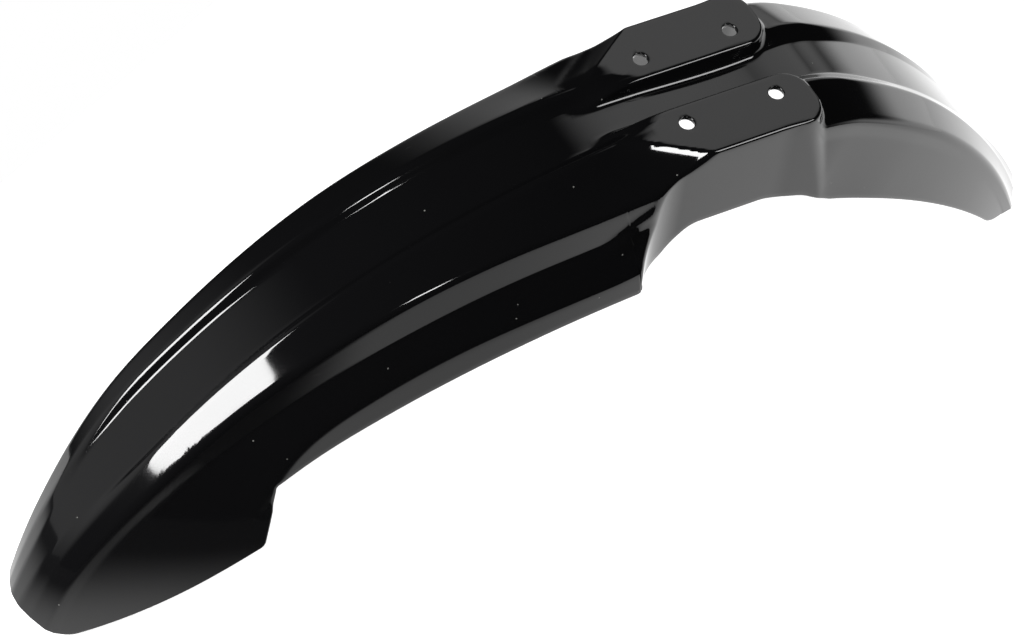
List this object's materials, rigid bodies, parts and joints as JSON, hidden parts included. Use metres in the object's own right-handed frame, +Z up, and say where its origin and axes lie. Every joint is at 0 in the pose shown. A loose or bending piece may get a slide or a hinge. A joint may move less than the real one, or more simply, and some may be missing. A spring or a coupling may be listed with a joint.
{
  "type": "motorcycle front mudguard",
  "caption": "High-mounted motocross front mudguard, a long arched shell with a channelled top, flared lipped sides, a fork relief on each side and flat bolting pads.",
  "frame": {"origin": "middle of the bolt holes, on the top face of the bolting pads", "axes": "+X forward to the nose, +Y to the rider's left, +Z up out of the pads towards the fork yoke"},
  "size_m": [0.7255, 0.1644, 0.3059],
  "materials": {
    "black_plastic": "glossy black moulded polypropylene with light dust and hairline scratches"
  },
  "bodies": {
    "root": {"front_mudguard": "black_plastic"}
  },
  "joints": []
}
